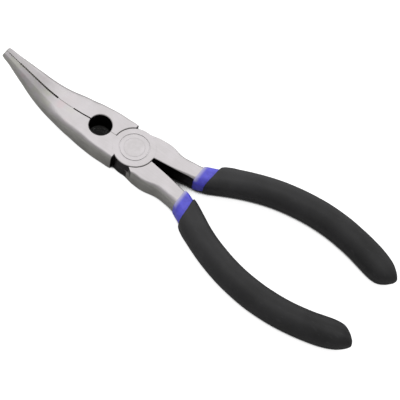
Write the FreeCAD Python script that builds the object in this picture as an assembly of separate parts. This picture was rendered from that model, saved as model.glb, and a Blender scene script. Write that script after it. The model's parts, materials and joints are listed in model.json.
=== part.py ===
"""Bent needle nose pliers, nominal 8 inch, with double-dipped vinyl grips.

Two forged halves cross in a lap joint and turn about a flush pivot rivet. Each half is one
forging: a long nose that bends upward, half of the joint, a shank and a tang. The tang
carries two dipped coats, a thin undercoat and a thicker overcoat.

Frame, in millimetres: +X runs from the handles to the nose, +Z is up out of the joint's
upper face, and the closed jaws meet on the plane y = 0. The origin is under the middle of
the tool's plan, at the height of the lowest point of the grips.

half_a has its jaw on the +Y side, its joint plate on top and its handle on the -Y side.
half_b has its jaw on the -Y side, its joint plate underneath and its handle on the +Y side.
"""

import FreeCAD, Part
import math
import os
from FreeCAD import Vector

# Joint
DISC_R = 10.0             # radius of each half's round joint plate
DISC_CLEARANCE = 0.15     # radial gap round the plate, to the other half
LAYER_GAP = 0.05          # gap between the two plates
JOINT_H = 5.2             # half the thickness of the closed joint
SHOULDER_X = 5.3          # distance of the nose's shoulder from the pivot
SHOULDER_DEG = 52.0       # angle between the nose's shoulder and the shank's, when closed
RAMP_START_DEG = 259.0    # where the shank's flank leaves the rim of its own plate
RAMP_END_X = -9.0         # where that flank reaches the shank's full width
RAMP_ROOT = 3.0           # length of the flank that is part of the plate
CROTCH_DEG = 182.0        # where the shank's inner side meets the rim of its own plate
JAW_GAP = 0.05            # gap between the closed jaws' flat faces
JAW_EDGE = 0.15           # rounding of the jaws' inner edges
RIM_BREAK = 0.25          # chamfer on the rims of the joint

# Pivot rivet
RIVET_R = 3.6
RIVET_HEAD_R = 4.8
RIVET_HEAD_H = 1.3
RIVET_FIT = 0.04          # radial running clearance in half_a, which turns on the rivet
RING_R = 6.9              # shallow turned ring round each rivet head
RING_WIDTH = 0.5
RING_DEPTH = 0.2

# Nose: straight, then bent up on an arc, then straight to the tip
BEND_START = 35.5         # distance of the bend from the pivot
BEND_R = 40.0
BEND_DEG = 27.0
NOSE_LENGTH = 75.8        # along the centre line, from the pivot to the tip
# distance along the centre line, half-width, half-thickness at the seam, rounding of the upper
# edge across and down, and the crown: how much the upper face falls away per mm from the seam
NOSE_STATIONS = [
    (5.3, 11.0, 5.2, 1.2, 1.6, 0.0),
    (16.0, 11.1, 5.2, 1.6, 2.2, 0.0),
    (24.6, 10.35, 5.12, 2.1, 2.6, 0.0),
    (27.0, 10.1, 4.7, 2.2, 2.6, 0.0),
    (30.0, 9.85, 4.3, 2.3, 2.6, 0.0),
    (34.0, 9.4, 4.05, 2.5, 2.5, 0.0),
    (38.0, 8.7, 3.85, 2.8, 2.4, 0.02),
    (45.0, 7.7, 3.55, 3.7, 2.2, 0.11),
    (54.7, 6.1, 3.05, 2.8, 1.7, 0.14),
    (60.0, 5.1, 2.65, 2.3, 1.4, 0.13),
    (64.6, 4.3, 2.3, 1.9, 1.2, 0.12),
    (68.0, 3.65, 2.0, 1.5, 1.0, 0.10),
    (71.2, 3.1, 1.75, 1.2, 0.8, 0.08),
    (75.8, 2.3, 1.5, 0.8, 0.6, 0.04),
]
NOSE_LOWER_EDGE = (1.1, 1.1)    # rounding of the nose's lower edges, across and down
NOSE_STEP = 4.0           # spacing of the nose's cross-sections

# Grip hole and gripping faces between the jaws
HOLE_X = 19.0
HOLE_R = 5.4
HOLE_CHAMFER = 0.3
RELIEF = (22.0, 34.0, 0.28)     # from, to, depth of the relieved face beside the hole
TOOTH_PITCH = 1.0
TOOTH_DEPTH = 0.25
TOOTH_ROOM = 0.01         # how far a groove's cutter stands out of the face that it cuts
OPEN_TEETH = (43.5, 67.5, 0.27) # from, to, depth of the teeth that stand back
TIP_TEETH = (67.5, 74.5, 0.0)   # the teeth that meet

# Handle: straight, then an arc outward, then the long bow of the grip
HANDLE_X = -10.0          # where the handle's centre line starts
HANDLE_Y = 6.1
SPREAD_X = -18.0          # where it starts to spread
BOW_R = 92.0
BOW_CENTRE = (-88.0, -66.1)
# distance along the centre line, inner offset, outer offset, half-thickness, edge radius
SHANK_STATIONS = [
    (-7.5, -5.9, 5.1, 5.2, 0.6),
    (2.4, -4.9, 5.35, 5.2, 0.8),
    (6.0, -4.35, 5.0, 5.0, 1.2),
    (10.0, -3.9, 4.3, 4.9, 1.8),
    (14.0, -3.7, 4.35, 4.85, 2.0),
    (18.1, -3.9, 4.1, 4.8, 2.0),
    (21.2, -4.5, 3.95, 4.6, 2.4),
    (25.5, -4.6, 4.25, 4.3, 3.0),
    (30.0, -4.5, 4.25, 4.2, 3.0),
    (37.0, -4.3, 3.8, 4.2, 3.0),
    (81.7, -3.8, 3.8, 4.2, 3.0),
    (114.0, -3.2, 3.2, 3.8, 2.6),
]
SHANK_INNER_EDGE = 0.4    # radius of the shank's inner edges
EDGE_BLEND = (10.0, 24.0) # from, to: where the inner edges change to the tang's edge radius
SHANK_STEP = 4.0          # spacing of the shank's cross-sections

# Grips
COAT_FIT = 0.03           # gap modelled between a coat and what it is dipped on
UNDERCOAT = 0.7           # thickness of the undercoat
UNDERCOAT_START = 20.7    # dip line of the undercoat, along the handle's centre line
UNDERCOAT_LEAN = 0.0      # lean of that line in plan, in degrees
OVERCOAT_START = 27.2
OVERCOAT_LEAN = 4.0
# distance along the centre line, inner offset, outer offset, half-thickness, edge radius
GRIP_STATIONS = [
    (21.0, -5.8, 4.9, 5.6, 3.4),
    (24.0, -5.9, 5.4, 5.75, 3.8),
    (30.0, -6.1, 6.25, 6.0, 4.6),
    (33.0, -6.2, 6.4, 6.05, 4.9),
    (37.0, -6.35, 6.25, 6.05, 5.2),
    (57.0, -6.5, 6.3, 6.05, 5.4),
    (82.0, -6.6, 6.55, 6.05, 5.4),
    (102.0, -6.8, 6.5, 6.05, 5.4),
    (112.0, -6.7, 6.55, 6.0, 5.2),
    (117.2, -5.9, 6.1, 5.6, 4.6),
    (120.3, -4.4, 5.2, 4.9, 3.7),
    (122.6, -1.6, 4.3, 3.6, 2.5),
    (123.9, 1.2, 3.6, 1.8, 1.1),
]
GRIP_STEP = 5.5           # spacing of the grip's cross-sections
GRIP_END_START = 112.0    # where the rounded end starts
GRIP_END_STEP = 1.4
GRIP_FLOOR = 5.9          # depth of the flat strip under each grip, which the tool rests on

UP = Vector(0, 0, 1)
ACROSS = Vector(0, 1, 0)
CENTRE = Vector(0, 0, 0)
FAR = 300.0               # reach of cutting blocks
NOSE_CUT = 1.5 * JOINT_H  # half the height of the nose's cutters, more than its half-thickness


def between(stations, distance):
    """Values of a station table at a distance, on a smooth curve through the stations."""
    last = len(stations) - 1
    i = 0
    while i < last - 1 and stations[i + 1][0] < distance:
        i += 1
    a, b = stations[i], stations[i + 1]
    before = stations[max(i - 1, 0)]
    after = stations[min(i + 2, last)]
    span = b[0] - a[0]
    u = (distance - a[0]) / span
    values = []
    for k in range(1, len(a)):
        slope_a = (b[k] - before[k]) / (b[0] - before[0]) * span
        slope_b = (after[k] - a[k]) / (after[0] - a[0]) * span
        rise = b[k] - a[k]
        cubic = slope_a + slope_b - 2.0 * rise
        square = 3.0 * rise - 2.0 * slope_a - slope_b
        values.append(a[k] + u * (slope_a + u * (square + u * cubic)))
    return values


def spaced(start, end, step):
    """Evenly spaced distances from start to end, both included."""
    count = max(1, round((end - start) / step))
    return [start + (end - start) * i / count for i in range(count + 1)]


def quarter_ellipse(start, corner, end):
    """Rounded corner from start to end, tangent to both sides of the corner."""
    curve = Part.BezierCurve()
    reach = 4.0 / 3.0 * (math.sqrt(2.0) - 1.0)
    curve.setPoles([start, start + (corner - start) * reach, end + (corner - end) * reach, end])
    return curve.toShape()


def bar_section(point, across, up, inner, outer, half_h, inner_r, upper, lower, crown=0.0):
    """Closed rounded rectangle across a bar, as four sides and four rounded corners.

    The outer edges are rounded by upper and lower, each across and down. The upper side falls
    away by the crown per mm from the inner side.
    """
    top = half_h - crown * (outer - inner)
    corners = [
        (outer, outer - upper[0], top, top + crown * upper[0], upper[1]),
        (inner, inner + inner_r, half_h, half_h - crown * inner_r, inner_r),
        (inner, inner + inner_r, -half_h, -half_h, -inner_r),
        (outer, outer - lower[0], -half_h, -half_h, -lower[1]),
    ]
    rounded = []
    for i, (width, level_width, height, level_height, drop) in enumerate(corners):
        level = point + across * level_width + up * level_height
        upright = point + across * width + up * (height - drop)
        corner = point + across * width + up * height
        rounded.append((upright, corner, level) if i in (0, 2) else (level, corner, upright))
    edges = []
    for i, (start, corner, end) in enumerate(rounded):
        edges.append(quarter_ellipse(start, corner, end))
        edges.append(Part.makeLine(end, rounded[(i + 1) % 4][0]))
    return Part.Wire(edges)


def nose_frame(distance):
    """Point on the nose's centre line and the direction square to it in the XZ plane."""
    bend = math.radians(BEND_DEG)
    turn = min(max((distance - BEND_START) / BEND_R, 0.0), bend)
    past = max(distance - BEND_START - BEND_R * bend, 0.0)
    x = min(distance, BEND_START) + BEND_R * math.sin(turn) + past * math.cos(turn)
    z = BEND_R * (1.0 - math.cos(turn)) + past * math.sin(turn)
    return Vector(x, 0, z), Vector(-math.sin(turn), 0, math.cos(turn))


def handle_path():
    """Radius and turn of the spreading arc, tangent to the straight and to the bow."""
    reach = SPREAD_X - BOW_CENTRE[0]
    rise = HANDLE_Y - BOW_CENTRE[1]
    radius = (reach ** 2 + rise ** 2 - BOW_R ** 2) / (2.0 * (BOW_R - rise))
    return radius, math.asin(reach / (radius + BOW_R))


def handle_frame(distance):
    """Point on the handle's centre line and the outward direction square to it."""
    radius, turn = handle_path()
    straight = HANDLE_X - SPREAD_X
    if distance <= straight:
        return Vector(HANDLE_X - distance, HANDLE_Y, 0), Vector(0, 1, 0)
    angle = (distance - straight) / radius
    if angle <= turn:
        point = Vector(
            SPREAD_X - radius * math.sin(angle),
            HANDLE_Y + radius * (1.0 - math.cos(angle)),
            0,
        )
    else:
        angle = turn - (distance - straight - radius * turn) / BOW_R
        point = Vector(
            BOW_CENTRE[0] + BOW_R * math.sin(angle),
            BOW_CENTRE[1] + BOW_R * math.cos(angle),
            0,
        )
    return point, Vector(math.sin(angle), math.cos(angle), 0)


def nose_blank():
    """The bent nose on the +Y side, before its hole and teeth."""
    sections = []
    for distance in spaced(SHOULDER_X, NOSE_LENGTH, NOSE_STEP):
        half_w, half_h, over, down, crown = between(NOSE_STATIONS, distance)
        point, up = nose_frame(distance)
        sections.append(
            bar_section(
                point, ACROSS, up, JAW_GAP / 2.0, half_w, half_h, JAW_EDGE, (over, down),
                NOSE_LOWER_EDGE, crown,
            )
        )
    return Part.makeLoft(sections, True, False)


def groove(distance, face_y):
    """V groove square across a gripping face that stands at face_y."""
    point, up = nose_frame(distance)
    along = up.cross(ACROSS)
    bottom = point - up * NOSE_CUT
    mouth = bottom + ACROSS * (face_y - TOOTH_ROOM)
    corners = [
        mouth + along * TOOTH_PITCH / 2.0,
        mouth - along * TOOTH_PITCH / 2.0,
        bottom + ACROSS * (face_y + TOOTH_DEPTH),
    ]
    outline = Part.makePolygon(corners + corners[:1])
    return Part.Face(outline).extrude(up * 2.0 * NOSE_CUT)


def face_pocket(start, end, depth):
    """Shallow pocket in the gripping face, between two distances along the nose."""
    frames = [nose_frame(distance) for distance in spaced(start, end, NOSE_STEP)]
    low = [point - up * NOSE_CUT for point, up in frames]
    high = [point + up * NOSE_CUT for point, up in reversed(frames)]
    outline = Part.makePolygon(low + high + low[:1])
    return Part.Face(outline).extrude(ACROSS * (JAW_GAP / 2.0 + depth))


def nose():
    """The nose with its half of the grip hole, its relief and its teeth."""
    blank = nose_blank()
    hole = Part.makeCylinder(HOLE_R, FAR, Vector(HOLE_X, 0, -FAR / 2.0), UP)
    cuts = [hole]
    for out in (UP, -UP):
        start = Vector(HOLE_X, 0, 0) + out * (JOINT_H - HOLE_CHAMFER)
        height = 2.0 * HOLE_CHAMFER
        cuts.append(Part.makeCone(HOLE_R, HOLE_R + height, height, start, out))
    cuts.append(face_pocket(*RELIEF))
    cuts.append(face_pocket(*OPEN_TEETH))
    for start, end, depth in (OPEN_TEETH, TIP_TEETH):
        face_y = JAW_GAP / 2.0 + depth
        first = start + TOOTH_PITCH / 2.0
        for i in range(int((end - start) / TOOTH_PITCH)):
            cuts.append(groove(first + i * TOOTH_PITCH, face_y))
    return blank.cut(cuts)


def shank_bar(grow, last):
    """Shank and tang on the +Y side, grown all round by a coat's thickness."""
    sections = []
    blend_start, blend_end = EDGE_BLEND
    for distance in spaced(SHANK_STATIONS[0][0], last, SHANK_STEP):
        inner, outer, half_h, edge_r = between(SHANK_STATIONS, distance)
        point, across = handle_frame(distance)
        blend = min(max((distance - blend_start) / (blend_end - blend_start), 0.0), 1.0)
        inner_r = SHANK_INNER_EDGE + (edge_r - SHANK_INNER_EDGE) * blend
        sections.append(
            bar_section(
                point, across, UP, inner - grow, outer + grow, half_h + grow,
                inner_r + grow, (edge_r + grow,) * 2, (edge_r + grow,) * 2,
            )
        )
    return Part.makeLoft(sections, True, False)


def shank():
    """Shank and tang on the -Y side, cut off at the shoulder that clears the other nose."""
    bar = shank_bar(0.0, SHANK_STATIONS[-1][0])
    behind = Part.makeBox(FAR, 2.0 * FAR, FAR, Vector(SHOULDER_X - FAR, -FAR, -FAR / 2.0))
    behind.rotate(CENTRE, UP, SHOULDER_DEG)
    return bar.common(behind).mirror(CENTRE, ACROSS)


def ramp():
    """Start, end and direction of the straight flank from the plate's rim to the shank."""
    angle = math.radians(RAMP_START_DEG)
    rim = Vector(DISC_R * math.cos(angle), DISC_R * math.sin(angle), 0)
    widest = Vector(RAMP_END_X, -HANDLE_Y - between(SHANK_STATIONS, HANDLE_X - RAMP_END_X)[1], 0)
    return rim, widest, (widest - rim).normalize()


def ramp_root(thickness):
    """The corner that the start of the flank adds to the round plate."""
    rim, widest, along = ramp()
    outline = Part.makePolygon([CENTRE, rim, rim + along * RAMP_ROOT, CENTRE])
    return Part.Face(outline).extrude(UP * thickness)


def beside_ramp():
    """Space beside that flank."""
    rim, widest, along = ramp()
    away = along.cross(UP) * -FAR
    outline = Part.makePolygon([rim, widest + along, widest + along + away, rim + away, rim])
    return Part.Face(outline).extrude(UP * FAR)


def rivet_body(fit):
    """Rivet with a countersunk head at each face, larger all round by a fit."""
    body = Part.makeCylinder(RIVET_R + fit, 2.0 * JOINT_H, Vector(0, 0, -JOINT_H), UP)
    for out in (UP, -UP):
        base = out * (JOINT_H - RIVET_HEAD_H)
        head = Part.makeCone(RIVET_R + fit, RIVET_HEAD_R + fit, RIVET_HEAD_H, base, out)
        body = body.fuse(head)
    return body.removeSplitter()


def turned_ring():
    """Shallow ring turned in the upper face of the joint, round the rivet's head."""
    base = Vector(0, 0, JOINT_H - RING_DEPTH)
    outer = Part.makeCylinder(RING_R + RING_WIDTH / 2.0, 2.0 * RING_DEPTH, base, UP)
    return outer.cut(Part.makeCylinder(RING_R - RING_WIDTH / 2.0, 2.0 * RING_DEPTH, base, UP))


def rim_bevels():
    """Bevels on the stretches of the plate's rim that its own nose and shank leave free."""
    shoulder = math.degrees(math.acos(SHOULDER_X / DISC_R))
    low = Vector(DISC_R + RIM_BREAK, 0, JOINT_H - 2.0 * RIM_BREAK)
    high = Vector(DISC_R + RIM_BREAK, 0, JOINT_H)
    inner = Vector(DISC_R - RIM_BREAK, 0, JOINT_H)
    outline = Part.Face(Part.makePolygon([low, high, inner, low]))
    bevels = []
    for start, end in ((shoulder, CROTCH_DEG), (RAMP_START_DEG, 360.0)):
        bevel = outline.revolve(CENTRE, UP, end - start)
        bevel.rotate(CENTRE, UP, start)
        bevels.append(bevel)
    return bevels


def half(plate_on_top):
    """One half: nose at +Y, handle at -Y, its joint plate in one of the two layers."""
    thickness = JOINT_H - LAYER_GAP / 2.0
    room_r = DISC_R + DISC_CLEARANCE
    room = Part.makeCylinder(room_r, FAR, Vector(0, 0, LAYER_GAP / 2.0 - FAR), UP)
    bevel_low = Vector(0, 0, -JOINT_H + RIM_BREAK)
    bevel = Part.makeCone(room_r, room_r + 2.0 * RIM_BREAK, 2.0 * RIM_BREAK, bevel_low, -UP)
    room = room.fuse(bevel)
    own = Part.makeCylinder(DISC_R, FAR, Vector(0, 0, LAYER_GAP / 2.0), UP)
    plate = Part.makeCylinder(DISC_R, thickness, Vector(0, 0, LAYER_GAP / 2.0), UP)
    root = ramp_root(thickness)
    root.translate(UP * LAYER_GAP / 2.0)
    plate = plate.cut(rim_bevels()).fuse(root)
    flank = beside_ramp()
    ring = turned_ring()
    if not plate_on_top:
        room, own, plate, flank, ring = [
            shape.mirror(CENTRE, UP) for shape in (room, own, plate, flank, ring)
        ]
    handle = shank().cut(flank)
    body = nose().fuse(handle).cut([room, own]).fuse(plate)
    fit = RIVET_FIT if plate_on_top else 0.0
    return body.cut([rivet_body(fit), ring])


def behind(distance, lean):
    """Everything past a dip line, which crosses the handle at a distance along it."""
    block = Part.makeBox(FAR, FAR, FAR, Vector(-FAR, -FAR / 2.0, -FAR / 2.0))
    block.rotate(CENTRE, UP, lean)
    block.translate(handle_frame(distance)[0])
    return block


def undercoat():
    """Thin coat dipped over the tang, on the +Y side."""
    tang_end = SHANK_STATIONS[-1][0]
    outside = shank_bar(COAT_FIT + UNDERCOAT, tang_end + COAT_FIT + UNDERCOAT)
    inside = shank_bar(COAT_FIT, tang_end + COAT_FIT)
    return outside.cut(inside).common(behind(UNDERCOAT_START, UNDERCOAT_LEAN))


def overcoat():
    """Thick soft coat over the undercoat, on the +Y side, tapered to a blunt end."""
    start, end = GRIP_STATIONS[0][0], GRIP_STATIONS[-1][0]
    distances = spaced(start, GRIP_END_START, GRIP_STEP)
    distances += spaced(GRIP_END_START, end, GRIP_END_STEP)[1:]
    sections = []
    for distance in distances:
        inner, outer, half_h, edge_r = between(GRIP_STATIONS, distance)
        point, across = handle_frame(distance)
        edge = (edge_r, edge_r)
        sections.append(bar_section(point, across, UP, inner, outer, half_h, edge_r, edge, edge))
    outside = Part.makeLoft(sections, True, False)
    floor = Part.makeBox(2.0 * FAR, 2.0 * FAR, FAR, Vector(-FAR, -FAR, -GRIP_FLOOR - FAR))
    clearance = UNDERCOAT + 2.0 * COAT_FIT
    inside = shank_bar(clearance, SHANK_STATIONS[-1][0] + clearance)
    return outside.cut([inside, floor]).common(behind(OVERCOAT_START, OVERCOAT_LEAN))


def pivot_place():
    """Where the pivot stands, with the part's origin under the middle of its plan."""
    tip, tip_up = nose_frame(NOSE_LENGTH)
    front = tip.x - tip_up.x * NOSE_STATIONS[-1][2]
    distance, inner, outer = GRIP_STATIONS[-1][:3]
    end, across = handle_frame(distance)
    back = end.x + across.x * outer
    return Vector(-(front + back) / 2.0, 0, GRIP_FLOOR)


def write(name, shape, place):
    """Move a piece into the part's frame and write it."""
    shape.translate(place)
    shape.exportStep("parts/" + name + ".step")
    print(name, "valid:", shape.isValid(), "solids:", len(shape.Solids), "mm3:", round(shape.Volume))


def main():
    os.makedirs("parts", exist_ok=True)
    place = pivot_place()
    print("pivot at", round(place.x, 3), round(place.y, 3), round(place.z, 3))
    write("jaw_half_a", half(True), place)
    write("jaw_half_b", half(False).mirror(CENTRE, ACROSS), place)
    write("pivot_rivet", rivet_body(0.0), place)
    write("grip_a_undercoat", undercoat().mirror(CENTRE, ACROSS), place)
    write("grip_b_undercoat", undercoat(), place)
    write("grip_a_overcoat", overcoat().mirror(CENTRE, ACROSS), place)
    write("grip_b_overcoat", overcoat(), place)


main()
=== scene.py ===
"""Looks of the bent needle nose pliers.

The two steel halves and the rivet are the frame's own pieces, with ground steel that is
black on the halves' steep faces in the recesses. The four dipped coats are meshes made
here, with rounded dip lines, a slightly uneven surface and a blunt end, in place of the
frame's plain ones.

Tables and sizes are in millimetres about the pivot, as the tool is drawn. Everything is
turned into metres in the frame by in_frame().
"""

import json
import math

import bpy
from mathutils import Matrix, Vector, noise


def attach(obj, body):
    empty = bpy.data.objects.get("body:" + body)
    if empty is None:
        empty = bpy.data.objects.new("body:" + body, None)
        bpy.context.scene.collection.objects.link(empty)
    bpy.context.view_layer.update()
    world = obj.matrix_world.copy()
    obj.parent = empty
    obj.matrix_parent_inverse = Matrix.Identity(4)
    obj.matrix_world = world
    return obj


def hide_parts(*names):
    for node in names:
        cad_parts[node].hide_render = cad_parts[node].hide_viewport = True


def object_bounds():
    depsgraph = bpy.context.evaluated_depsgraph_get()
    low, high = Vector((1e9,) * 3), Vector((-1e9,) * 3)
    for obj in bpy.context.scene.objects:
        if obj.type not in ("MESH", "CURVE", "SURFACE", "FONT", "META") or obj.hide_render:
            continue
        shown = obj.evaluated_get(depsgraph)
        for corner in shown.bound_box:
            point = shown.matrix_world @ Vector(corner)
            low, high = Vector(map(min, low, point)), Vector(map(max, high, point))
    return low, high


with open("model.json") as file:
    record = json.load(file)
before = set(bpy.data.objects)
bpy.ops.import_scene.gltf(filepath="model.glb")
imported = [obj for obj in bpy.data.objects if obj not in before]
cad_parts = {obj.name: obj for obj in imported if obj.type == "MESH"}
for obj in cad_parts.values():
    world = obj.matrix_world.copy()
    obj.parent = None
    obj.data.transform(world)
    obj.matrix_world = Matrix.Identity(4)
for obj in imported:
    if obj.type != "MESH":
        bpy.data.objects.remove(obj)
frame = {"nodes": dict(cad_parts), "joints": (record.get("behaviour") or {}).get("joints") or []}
cad_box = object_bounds()

MM = 0.001
PIVOT = Vector(frame["joints"][0]["pos_m"])
FLOOR_Z = cad_box[0].z

# Joint and nose
DISC_R = 10.0             # radius of the joint's round plates
SHOULDER_X = 5.3          # where the nose starts, past the pivot
HOLE_X = 19.0             # middle of the grip hole between the jaws
HOLE_R = 5.4

# Handle: straight, then an arc outward, then the long bow of the grip
HANDLE_X = -10.0          # where the centre line starts
HANDLE_Y = 6.1
SPREAD_X = -18.0          # where it starts to turn outward
BOW_R = 92.0
BOW_CENTRE = (-88.0, -66.1)

# Along the handle's centre line: distance, inner offset, outer offset, half-thickness, edge radius
TANG_STATIONS = [
    (14.0, -3.7, 4.35, 4.85, 2.0),
    (18.1, -3.9, 4.1, 4.8, 2.0),
    (21.2, -4.5, 3.95, 4.6, 2.4),
    (25.5, -4.6, 4.25, 4.3, 3.0),
    (30.0, -4.5, 4.25, 4.2, 3.0),
    (37.0, -4.3, 3.8, 4.2, 3.0),
    (81.7, -3.8, 3.8, 4.2, 3.0),
    (114.0, -3.2, 3.2, 3.8, 2.6),
]
TANG_INNER_EDGE = 0.4     # radius of the shank's inner edges, up to the tang
EDGE_BLEND = (10.0, 24.0) # from, to: where they change to the tang's edge radius
GRIP_STATIONS = [
    (21.0, -5.8, 4.9, 5.6, 3.4),
    (24.0, -5.9, 5.4, 5.75, 3.8),
    (30.0, -6.1, 6.25, 6.0, 4.6),
    (33.0, -6.2, 6.4, 6.05, 4.9),
    (37.0, -6.35, 6.25, 6.05, 5.2),
    (57.0, -6.5, 6.3, 6.05, 5.4),
    (82.0, -6.6, 6.55, 6.05, 5.4),
    (102.0, -6.8, 6.5, 6.05, 5.4),
    (112.0, -6.7, 6.55, 6.0, 5.2),
    (117.2, -5.9, 6.1, 5.6, 4.6),
    (120.3, -4.4, 5.2, 4.9, 3.7),
    (122.6, -1.6, 4.3, 3.6, 2.5),
    (123.9, 1.2, 3.6, 1.8, 1.1),
]
GRIP_FLOOR = 5.9          # depth of the flat strip under each grip
TANG_END = TANG_STATIONS[-1][0]

# Coats
FIT = 0.04                # gap under each coat
UNDERCOAT = 0.7           # thickness of the blue coat
UNDERCOAT_DIP = 20.7      # where its dip line crosses the handle's centre line
UNDERCOAT_LEAN = 0.0      # lean of the dip line in plan, in degrees
UNDERCOAT_RIM = 1.9       # length over which it thins out at the dip line
UNDERCOAT_WAVE = 0.03     # how far its surface wanders in and out
OVERCOAT_DIP = 27.2       # the same sizes for the black coat
OVERCOAT_LEAN = 4.0
OVERCOAT_RIM = 0.9
OVERCOAT_WAVE = 0.10
BEAD = 0.10               # swell behind each rim, as a share of the coat's thickness
LEAN_REACH = 24.0         # distance over which the rings turn square to the handle again
LONG_WAVE = 9.0           # sizes of the waves in a dipped surface
SHORT_WAVE = 3.2
CORNER_STEPS = 12         # points round each rounded corner of a coat's section
SIDE_STEPS = 5            # points along each flat side of it
RING_STEP = 0.6           # spacing of a coat's rings on its outside
INSIDE_STEP = 4.0 * RING_STEP
RIM_STEPS = 7             # rings round the rim of a coat
WAVE_RINGS = 8            # rings behind the rim over which the waves come in

# Steel
GRIND_TURN = math.radians(7.0)    # direction of the grinding marks
SHOULDER_BLACK = (13.0, 15.0)     # distances over which the joint's shoulders lose their black
BENT = (28.0, 42.0)               # stretch over which the painted reflection tints of the bent part come in

# Black vinyl
GRIP_SHADE = (-115.0, -35.0)       # stretch over which its painted shade lifts, from dark at the ends to light at the front

# Light
STEEL_GLOW = 0.44         # radiance of the softbox that the upper faces mirror
LOW_GLOW = 0.5            # radiance of the lower one, which the far edges mirror
ROOM = 0.38               # radiance of the dim sides of the room
ROOM_BACK = 0.35          # how much brighter the room is toward the back and the nose
FLOOR_GLOW = 0.88         # the floor's own light, which only the floor shows
FLOOR_SHADE = 0.008       # what is left of it under the tool
CONTACT_REACH = 0.012     # how far the tool's contact shade spreads on the floor
CONTACT_SHADE = (0.27, 0.38)      # openness at which the floor is dark, and at which it is light
FLOOR_HALF = 4.0          # half the floor's side
FLOOR_DROP = 0.1          # how far under the tool it lies, in millimetres

# Camera
CAMERA_PLACE = Vector((-0.1302, 0.3013, 0.6186))
CAMERA_AIM = Vector((-0.0092, 0.00123, 0.0059))
CAMERA_ROLL = math.radians(14.03)
CAMERA_LENS = 138.6
SENSOR = 36.0


# ---------------------------------------------------------------- shapes


def in_frame(x, y, z):
    """A point drawn in millimetres about the pivot, in metres in the frame."""
    return PIVOT + Vector((x, y, z)) * MM


def between(stations, distance):
    """Values of a station table at a distance, on a smooth curve through the stations."""
    last = len(stations) - 1
    i = 0
    while i < last - 1 and stations[i + 1][0] < distance:
        i += 1
    a, b = stations[i], stations[i + 1]
    before = stations[max(i - 1, 0)]
    after = stations[min(i + 2, last)]
    span = b[0] - a[0]
    u = (distance - a[0]) / span
    values = []
    for k in range(1, len(a)):
        slope_a = (b[k] - before[k]) / (b[0] - before[0]) * span
        slope_b = (after[k] - a[k]) / (after[0] - a[0]) * span
        rise = b[k] - a[k]
        cubic = slope_a + slope_b - 2.0 * rise
        square = 3.0 * rise - 2.0 * slope_a - slope_b
        values.append(a[k] + u * (slope_a + u * (square + u * cubic)))
    return values


def smooth(value, low, high):
    """0 at low, 1 at high, and a smooth rise between them."""
    t = min(max((value - low) / (high - low), 0.0), 1.0)
    return t * t * (3.0 - 2.0 * t)


def heading(distance):
    """How far the handle has turned outward at a distance along its centre line.

    Also the radius of the arc outward and the whole turn of it; turns are in radians.
    """
    reach = SPREAD_X - BOW_CENTRE[0]
    rise = HANDLE_Y - BOW_CENTRE[1]
    radius = (reach ** 2 + rise ** 2 - BOW_R ** 2) / (2.0 * (BOW_R - rise))
    turn = math.asin(reach / (radius + BOW_R))
    past = distance - (HANDLE_X - SPREAD_X)
    if past <= radius * turn:
        return max(past, 0.0) / radius, radius, turn
    return turn - (past - radius * turn) / BOW_R, radius, turn


def handle_frame(distance):
    """Point on the handle's centre line and the outward direction square to it, on the +Y side."""
    angle, radius, turn = heading(distance)
    past = distance - (HANDLE_X - SPREAD_X)
    if past <= 0.0:
        point = Vector((HANDLE_X - distance, HANDLE_Y, 0.0))
    elif past <= radius * turn:
        point = Vector((
            SPREAD_X - radius * math.sin(angle),
            HANDLE_Y + radius * (1.0 - math.cos(angle)),
            0.0,
        ))
    else:
        point = Vector((
            BOW_CENTRE[0] + BOW_R * math.sin(angle),
            BOW_CENTRE[1] + BOW_R * math.cos(angle),
            0.0,
        ))
    return point, Vector((math.sin(angle), math.cos(angle), 0.0))


def section(inner, outer, half_h, inner_r, outer_r):
    """Offset and height of points round a rounded rectangle, the same count for every size."""
    centres = [
        (outer - outer_r, half_h - outer_r, outer_r),
        (inner + inner_r, half_h - inner_r, inner_r),
        (inner + inner_r, inner_r - half_h, inner_r),
        (outer - outer_r, outer_r - half_h, outer_r),
    ]
    corners = []
    for k, (across, up, edge_r) in enumerate(centres):
        angles = [(k + i / CORNER_STEPS) * math.pi / 2.0 for i in range(CORNER_STEPS + 1)]
        corners.append([
            (across + edge_r * math.cos(a), up + edge_r * math.sin(a)) for a in angles
        ])
    points = []
    for k, corner in enumerate(corners):
        points += corner
        start, end = corner[-1], corners[(k + 1) % 4][0]
        for i in range(1, SIDE_STEPS + 1):
            t = i / (SIDE_STEPS + 1)
            points.append((start[0] + (end[0] - start[0]) * t, start[1] + (end[1] - start[1]) * t))
    return points


def tang_section(distance, grow):
    """Section of the tang, grown all round by a coat's thickness."""
    inner, outer, half_h, edge_r = between(TANG_STATIONS, min(distance, TANG_END))
    start, end = EDGE_BLEND
    blend = min(max((distance - start) / (end - start), 0.0), 1.0)
    inner_r = TANG_INNER_EDGE + (edge_r - TANG_INNER_EDGE) * blend
    return section(inner - grow, outer + grow, half_h + grow, inner_r + grow, edge_r + grow)


def grip_section(distance):
    """Section of the grip's outside."""
    inner, outer, half_h, edge_r = between(GRIP_STATIONS, distance)
    return section(inner, outer, half_h, edge_r, edge_r)


def ring(distance, points, dip, lean):
    """Points of a section placed on the handle; near the dip line the ring leans as it does."""
    tilt = math.tan(heading(dip)[0] + math.radians(lean))
    fade = 1.0 - smooth(distance, dip, dip + LEAN_REACH)
    placed = []
    for offset, height in points:
        point, across = handle_frame(distance + offset * tilt * fade)
        placed.append(point + across * offset + Vector((0.0, 0.0, height)))
    return placed


def spaced(start, end, step):
    """Evenly spaced distances from start to end, both included."""
    count = max(1, round(abs(end - start) / step))
    return [start + (end - start) * i / count for i in range(count + 1)]


def mixed(low, high, share):
    """Points a share of the way from one section to another."""
    return [
        (a[0] + (b[0] - a[0]) * share, a[1] + (b[1] - a[1]) * share) for a, b in zip(low, high)
    ]


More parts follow.
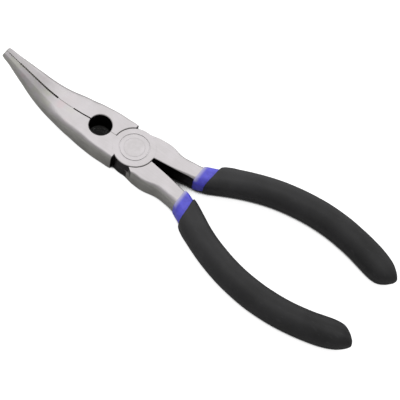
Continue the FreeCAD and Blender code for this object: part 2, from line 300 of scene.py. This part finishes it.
def coat_rings(inside, outside, dip, lean, end, rim, bead):
    """Rings of a dipped coat: up the inside to the dip line, over its rim, down the outside."""
    inside_end = TANG_END + FIT
    rings = [ring(d, inside(d), dip, lean) for d in spaced(inside_end, dip, INSIDE_STEP)]
    for i in range(1, RIM_STEPS + 1):
        angle = math.pi / 2.0 * i / RIM_STEPS
        distance = dip + rim * (1.0 - math.cos(angle))
        share = math.sin(angle)
        rings.append(ring(distance, mixed(inside(distance), outside(distance), share), dip, lean))
    for distance in spaced(dip + rim, end, RING_STEP)[1:]:
        past = (distance - dip - rim) / rim
        swell = 1.0 + bead * past * math.exp(1.0 - past)
        rings.append(ring(distance, mixed(inside(distance), outside(distance), swell), dip, lean))
    return rings


def uneven(points, amount, seed):
    """Moves points of a coat's outside in or out by the slow waves of a dipped surface."""
    centre = sum(points, Vector()) / len(points)
    moved = []
    for point in points:
        out = (point - centre).normalized()
        place = point + Vector((seed, seed * 1.7, seed * 0.6))
        wave = noise.noise(place / LONG_WAVE) * 0.7 + noise.noise(place / SHORT_WAVE) * 0.3
        moved.append(point + out * wave * amount)
    return moved


def build_coat(name, rings, first_outside, amount, seed, side):
    """Closed mesh through a coat's rings, on the handle of the given side of the tool."""
    vertices = []
    for i, points in enumerate(rings):
        if i >= first_outside:
            share = smooth(i, first_outside, first_outside + WAVE_RINGS)
            points = uneven(points, amount * share, seed)
        for point in points:
            low = max(point.z, -GRIP_FLOOR)
            vertices.append(in_frame(point.x, point.y * side, low))
    count = len(rings[0])
    faces = []
    for i in range(len(rings) - 1):
        for k in range(count):
            a, b = i * count + k, i * count + (k + 1) % count
            faces.append((a, b, b + count, a + count))
    for row, turned in ((0, True), (len(rings) - 1, False)):
        centre = sum((vertices[row * count + k] for k in range(count)), Vector()) / count
        middle = len(vertices)
        vertices.append(centre)
        for k in range(count):
            a, b = row * count + k, row * count + (k + 1) % count
            faces.append((b, a, middle) if turned else (a, b, middle))
    if side > 0:
        faces = [tuple(reversed(face)) for face in faces]
    mesh = bpy.data.meshes.new(name)
    mesh.from_pydata(vertices, [], faces)
    mesh.validate()
    mesh.polygons.foreach_set("use_smooth", [True] * len(mesh.polygons))
    piece = bpy.data.objects.new(name, mesh)
    bpy.context.scene.collection.objects.link(piece)
    return piece


def undercoat(half, side, seed):
    """Thin blue coat over the tang of one half."""
    rings = coat_rings(
        lambda d: tang_section(d, FIT),
        lambda d: tang_section(d, FIT + UNDERCOAT),
        UNDERCOAT_DIP, UNDERCOAT_LEAN, TANG_END + FIT + UNDERCOAT, UNDERCOAT_RIM, BEAD,
    )
    first = len(spaced(TANG_END + FIT, UNDERCOAT_DIP, INSIDE_STEP))
    piece = build_coat("undercoat_" + half, rings, first, UNDERCOAT_WAVE, seed, side)
    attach(piece, "half_" + half)
    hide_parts("grip_" + half + "_undercoat")
    return piece


def overcoat(half, side, seed):
    """Thick black coat over the undercoat of one half, tapered to a blunt end."""
    rings = coat_rings(
        lambda d: tang_section(d, 2.0 * FIT + UNDERCOAT),
        grip_section,
        OVERCOAT_DIP, OVERCOAT_LEAN, GRIP_STATIONS[-1][0], OVERCOAT_RIM, BEAD,
    )
    first = len(spaced(TANG_END + FIT, OVERCOAT_DIP, INSIDE_STEP))
    piece = build_coat("overcoat_" + half, rings, first, OVERCOAT_WAVE, seed, side)
    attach(piece, "half_" + half)
    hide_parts("grip_" + half + "_overcoat")
    return piece


# ---------------------------------------------------------------- materials


class Field:
    """A value that varies over a surface; arithmetic on it adds Math nodes to its tree."""

    def __init__(self, tree, socket):
        self.tree = tree
        self.socket = socket

    def math(self, operation, *others):
        node = self.tree.nodes.new("ShaderNodeMath")
        node.operation = operation
        self.tree.links.new(self.socket, node.inputs[0])
        for i, other in enumerate(others):
            if isinstance(other, Field):
                self.tree.links.new(other.socket, node.inputs[i + 1])
            else:
                node.inputs[i + 1].default_value = other
        return Field(self.tree, node.outputs[0])

    def __add__(self, other):
        return self.math("ADD", other)

    def __sub__(self, other):
        return self.math("SUBTRACT", other)

    def __mul__(self, other):
        return self.math("MULTIPLY", other)

    def size(self):
        return self.math("ABSOLUTE")

    def root(self):
        return self.math("SQRT")

    def most(self, other):
        return self.math("MAXIMUM", other)

    def rises(self, low, high, start=0.0, end=1.0):
        """start where this is at or under low, end where it is at or over high."""
        node = self.tree.nodes.new("ShaderNodeMapRange")
        node.interpolation_type = "SMOOTHSTEP"
        node.inputs["From Min"].default_value = low
        node.inputs["From Max"].default_value = high
        node.inputs["To Min"].default_value = start
        node.inputs["To Max"].default_value = end
        self.tree.links.new(self.socket, node.inputs["Value"])
        return Field(self.tree, node.outputs["Result"])

    def falls(self, low, high):
        """1 where this is at or under low, 0 where it is at or over high."""
        return self.rises(low, high, 1.0, 0.0)


class Surface:
    """A Principled material whose inputs are set to values or built from fields."""

    def __init__(self, name, **values):
        self.material = bpy.data.materials.new(name)
        self.material.use_nodes = True
        self.tree = self.material.node_tree
        self.shader = self.tree.nodes["Principled BSDF"]
        for key, value in values.items():
            self.shader.inputs[key.replace("_", " ")].default_value = value
        self.places = self.tree.nodes.new("ShaderNodeTexCoord")

    def split(self, socket):
        node = self.tree.nodes.new("ShaderNodeSeparateXYZ")
        self.tree.links.new(socket, node.inputs[0])
        return [Field(self.tree, out) for out in node.outputs]

    def place(self):
        """x, y and z in millimetres about the pivot, fixed to the piece."""
        x, y, z = self.split(self.places.outputs["Object"])
        return (x - PIVOT.x) * 1000.0, (y - PIVOT.y) * 1000.0, (z - PIVOT.z) * 1000.0

    def facing(self):
        """The surface's own direction, fixed to the piece."""
        return self.split(self.places.outputs["Normal"])

    def noise(self, size, detail=2.0, stretch=(1.0, 1.0, 1.0), turn=0.0, rough=0.5):
        """Noise with features of a size in millimetres, stretched along the axes."""
        mapping = self.tree.nodes.new("ShaderNodeMapping")
        mapping.inputs["Rotation"].default_value = (0.0, 0.0, turn)
        mapping.inputs["Scale"].default_value = [1.0 / (size * MM * s) for s in stretch]
        self.tree.links.new(self.places.outputs["Object"], mapping.inputs["Vector"])
        node = self.tree.nodes.new("ShaderNodeTexNoise")
        node.inputs["Scale"].default_value = 1.0
        node.inputs["Detail"].default_value = detail
        node.inputs["Roughness"].default_value = rough
        self.tree.links.new(mapping.outputs["Vector"], node.inputs["Vector"])
        return Field(self.tree, node.outputs["Fac"])

    def blend(self, share, low, high):
        """A colour from low to high by a field; either may be a socket of an earlier blend."""
        node = self.tree.nodes.new("ShaderNodeMix")
        node.data_type = "RGBA"
        self.tree.links.new(share.socket, node.inputs["Factor"])
        for name, colour in (("A", low), ("B", high)):
            socket = [s for s in node.inputs if s.name == name and s.type == "RGBA"][0]
            if isinstance(colour, bpy.types.NodeSocket):
                self.tree.links.new(colour, socket)
            else:
                socket.default_value = (*colour, 1.0)
        return [s for s in node.outputs if s.type == "RGBA"][0]

    def feed(self, name, source):
        socket = source.socket if isinstance(source, Field) else source
        self.tree.links.new(socket, self.shader.inputs[name])

    def relief(self, height, depth, edge=0.0):
        """Bump by a field, with a depth in millimetres, over edges rounded by a radius."""
        bump = self.tree.nodes.new("ShaderNodeBump")
        bump.inputs["Strength"].default_value = 1.0
        bump.inputs["Distance"].default_value = depth * MM
        self.tree.links.new(height.socket, bump.inputs["Height"])
        if edge:
            bevel = self.tree.nodes.new("ShaderNodeBevel")
            bevel.samples = 6
            bevel.inputs["Radius"].default_value = edge * MM
            self.tree.links.new(bevel.outputs["Normal"], bump.inputs["Normal"])
        self.tree.links.new(bump.outputs["Normal"], self.shader.inputs["Normal"])


# Colours of the steel: the ground faces at their lightest and darkest, the flanks, the two
# painted reflection tints of the bent part, and the black in the recesses
GROUND = (0.65, 0.62, 0.635)
GROUND_LOW = (0.57, 0.545, 0.55)
FLANK = (0.57, 0.56, 0.53)
# painted reflections: straw and rose tints that stand in for the surroundings mirrored in the bent
# part
STRAW_REFLECTION = (0.58, 0.585, 0.50)
ROSE_REFLECTION = (0.64, 0.535, 0.55)
REFLECTION_TINT = {"a": 0.55, "b": 0.12}    # how strongly each half gets the painted reflection tints
RECESS_BLACK = (0.050, 0.047, 0.048)


def half_steel(half, nose_side):
    """Ground upper and lower faces, satin flanks, and black on the steep faces in the joint,
    the grip hole, the shoulders and the shanks' inner walls.

    The bent part has faint straw and rose tints, painted reflections of the surroundings.
    """
    surface = Surface("steel_" + half, Metallic=1.0)
    x, y = surface.place()[:2]
    nx, ny, nz = surface.facing()
    toward_nose = ny * nose_side
    wall = nz.size().falls(0.45, 0.80)
    from_pivot = (x * x + y * y).root()
    from_hole = ((x - HOLE_X) * (x - HOLE_X) + y * y).root()
    in_joint = from_pivot.falls(DISC_R + 0.4, DISC_R + 0.7)
    in_hole = from_hole.falls(HOLE_R + 0.2, HOLE_R + 0.5)
    on_nose = x.rises(SHOULDER_X + 0.1, SHOULDER_X + 0.5)
    behind_nose = x.falls(-0.5, 0.5)
    shoulder = nx.size().rises(0.45, 0.7) * x.size().falls(*SHOULDER_BLACK)
    inner_shank = toward_nose.rises(0.1, 0.4) * behind_nose
    biting = toward_nose.falls(-0.7, -0.4) * on_nose
    steep = nz.size().falls(0.30, 0.60)
    # black on the steep faces in the joint, the grip hole, the shoulders and the shanks' inner
    # walls
    black = in_joint.most(in_hole).most(shoulder).most(inner_shank) * steep

    cloud = surface.noise(7.0, 3.0)
    streak = surface.noise(0.5, 3.0, (26.0, 1.0, 1.0), GRIND_TURN)
    line = surface.noise(0.10, 2.0, (60.0, 1.0, 1.0), GRIND_TURN)
    tone = (cloud * 0.6 + streak * 0.4).rises(0.3, 0.7)
    ground = surface.blend(tone, GROUND_LOW, GROUND)
    # painted reflections on the bent part: straw and rose tints, far stronger on half a
    tint = surface.noise(8.0, 2.0)
    bent = x.rises(*BENT) * REFLECTION_TINT[half]
    ground = surface.blend(tint.falls(0.36, 0.48) * bent, ground, STRAW_REFLECTION)
    ground = surface.blend(tint.rises(0.52, 0.64) * bent, ground, ROSE_REFLECTION)
    flank = surface.blend(tone, [c * 0.85 for c in FLANK], [c * 1.1 for c in FLANK])
    colour = surface.blend(wall, ground, flank)
    colour = surface.blend(biting * wall, colour, [c * 1.3 for c in FLANK])
    surface.feed("Base Color", surface.blend(black, colour, RECESS_BLACK))
    roughness = (cloud * 0.10 + streak * 0.10 + line * 0.08) + 0.20
    surface.feed("Roughness", roughness + wall * 0.06)
    surface.relief(line * 0.6 + streak * 0.4, 0.006, 0.12)
    return surface.material


def rivet_steel():
    """Ground flush with the plates; turned marks run round the head."""
    surface = Surface("steel_rivet", Metallic=1.0)
    x, y = surface.place()[:2]
    from_pivot = (x * x + y * y).root()
    turned = surface.tree.nodes.new("ShaderNodeTexNoise")
    turned.noise_dimensions = "1D"
    turned.inputs["Scale"].default_value = 6.0
    surface.tree.links.new(from_pivot.socket, turned.inputs["W"])
    marks = Field(surface.tree, turned.outputs["Fac"])
    cloud = surface.noise(3.0, 3.0)
    surface.feed("Base Color", surface.blend(cloud.rises(0.3, 0.7), GROUND_LOW, GROUND))
    surface.feed("Roughness", marks * 0.12 + cloud * 0.1 + 0.22)
    surface.relief(marks, 0.01, 0.1)
    return surface.material


def blue_vinyl():
    """Semi-gloss dipped vinyl; its rim is pale where it faces up, partly the steel showing through
    where the coat thins out and partly a painted highlight.
    """
    surface = Surface("vinyl_blue", IOR=1.5)
    cloud = surface.noise(2.4, 3.0)
    grain = surface.noise(0.35, 2.0)
    dip_x = handle_frame(UNDERCOAT_DIP)[0].x
    x = surface.place()[0]
    nz = surface.facing()[2]
    # pale rim on the upward faces: partly the steel showing through, partly a painted highlight
    steel_through_and_highlight = x.rises(dip_x - 1.2 * UNDERCOAT_RIM, dip_x) * nz.rises(0.1, 0.8)
    full = surface.blend(cloud.rises(0.3, 0.7), (0.115, 0.105, 0.78), (0.15, 0.14, 0.95))
    surface.feed("Base Color", surface.blend(steel_through_and_highlight * 0.8, full, (0.72, 0.70, 0.86)))
    surface.feed("Roughness", cloud * 0.12 + grain * 0.06 + 0.22)
    surface.relief(cloud * 0.8 + grain * 0.2, 0.06)
    return surface.material


def black_vinyl():
    """Matte dipped vinyl with a fine pebbled skin and faint scuffs."""
    surface = Surface("vinyl_black", IOR=1.5, Specular_IOR_Level=0.35)
    cloud = surface.noise(11.0, 3.0)
    pebble = surface.noise(0.45, 3.0, rough=0.6)
    fine = surface.noise(0.16, 2.0)
    scuff = surface.noise(1.2, 4.0, (3.5, 1.0, 1.0), math.radians(-25.0)).rises(0.60, 0.72)
    x = surface.place()[0]
    # painted shade: the vinyl is darker toward the grips' ends, over a random cloud
    tone = cloud.rises(0.3, 0.7) * 0.4 + x.rises(*GRIP_SHADE) * 0.6
    base = surface.blend(tone, (0.017, 0.0167, 0.0174), (0.046, 0.0455, 0.0475))
    surface.feed("Base Color", surface.blend(scuff * 0.35, base, (0.06, 0.06, 0.062)))
    surface.feed("Roughness", cloud * 0.10 + pebble * 0.12 + scuff * 0.05 + 0.42)
    surface.relief(pebble * 0.7 + fine * 0.3, 0.05)
    return surface.material


def floor_material():
    """White light-table floor, dark only where the tool keeps nearly all light off it."""
    surface = Surface("floor_white", Roughness=0.9, Specular_IOR_Level=0.1)
    near = surface.tree.nodes.new("ShaderNodeAmbientOcclusion")
    near.samples = 48
    near.inputs["Distance"].default_value = CONTACT_REACH
    open_sky = Field(surface.tree, near.outputs["AO"]).rises(*CONTACT_SHADE)
    surface.feed("Base Color", surface.blend(open_sky, (0.02, 0.02, 0.02), (0.52, 0.52, 0.52)))
    surface.shader.inputs["Emission Color"].default_value = (1.0, 1.0, 1.0, 1.0)
    surface.feed("Emission Strength", open_sky * (FLOOR_GLOW - FLOOR_SHADE) + FLOOR_SHADE)
    return surface.material


# ---------------------------------------------------------------- stage


def add_floor():
    """Floor plane; the light that it gives off falls on nothing but itself."""
    mesh = bpy.data.meshes.new("floor")
    corners = [(-1.0, -1.0), (1.0, -1.0), (1.0, 1.0), (-1.0, 1.0)]
    height = FLOOR_Z - FLOOR_DROP * MM
    places = [(x * FLOOR_HALF, y * FLOOR_HALF, height) for x, y in corners]
    mesh.from_pydata(places, [], [(0, 1, 2, 3)])
    floor = bpy.data.objects.new("floor", mesh)
    bpy.context.scene.collection.objects.link(floor)
    floor.data.materials.append(floor_material())
    lit = bpy.data.collections.new("lit_by_floor")
    lit.objects.link(floor)
    floor.light_linking.receiver_collection = lit


def add_softbox(name, direction, distance, width, height, radiance):
    """Rectangular light that faces the tool; its power gives the radiance asked for."""
    data = bpy.data.lights.new(name, "AREA")
    data.shape = "RECTANGLE"
    data.size = width
    data.size_y = height
    data.energy = radiance * math.pi * width * height
    light = bpy.data.objects.new(name, data)
    way = Vector(direction).normalized()
    light.location = way * distance
    light.rotation_euler = way.to_track_quat("Z", "Y").to_euler()
    bpy.context.scene.collection.objects.link(light)


def add_world():
    """Room light, brighter toward the back and the nose and dimmer toward the camera."""
    world = bpy.data.worlds.new("room")
    world.use_nodes = True
    bpy.context.scene.world = world
    tree = world.node_tree
    places = tree.nodes.new("ShaderNodeTexCoord")
    split = tree.nodes.new("ShaderNodeSeparateXYZ")
    tree.links.new(places.outputs["Generated"], split.inputs[0])
    back = Field(tree, split.outputs["Y"]).falls(-0.1, 0.95)
    level = back * Field(tree, split.outputs["X"]).rises(-0.45, 0.1) * ROOM_BACK + ROOM
    tree.links.new(level.socket, tree.nodes["Background"].inputs["Strength"])
    tree.nodes["Background"].inputs["Color"].default_value = (1.0, 1.0, 1.0, 1.0)


def add_camera():
    """Camera with a long lens, turned about its line of sight."""
    data = bpy.data.cameras.new("camera")
    data.sensor_width = SENSOR
    data.lens = CAMERA_LENS
    data.clip_start = 0.01
    camera = bpy.data.objects.new("camera", data)
    look = (CAMERA_AIM - CAMERA_PLACE).to_track_quat("-Z", "Y")
    camera.matrix_world = (
        Matrix.Translation(CAMERA_PLACE) @ look.to_matrix().to_4x4()
        @ Matrix.Rotation(CAMERA_ROLL, 4, "Z")
    )
    bpy.context.scene.collection.objects.link(camera)
    bpy.context.scene.camera = camera


def dress(piece, material):
    """Gives a piece one material in place of any that it has."""
    piece.data.materials.clear()
    piece.data.materials.append(material)


add_camera()
add_world()
add_floor()
add_softbox("softbox_back", (0.12, -0.53, 0.84), 1.2, 1.9, 1.3, STEEL_GLOW)
add_softbox("softbox_low", (-0.16, -0.95, 0.26), 1.3, 2.0, 0.5, LOW_GLOW)

blue, black = blue_vinyl(), black_vinyl()
for half, nose_side, seed in (("a", 1.0, 3.0), ("b", -1.0, 41.0)):
    dress(frame["nodes"]["jaw_half_" + half], half_steel(half, nose_side))
    dress(undercoat(half, -nose_side, seed), blue)
    dress(overcoat(half, -nose_side, seed + 10.0), black)
dress(frame["nodes"]["pivot_rivet"], rivet_steel())
bpy.context.scene.view_settings.view_transform = "Standard"
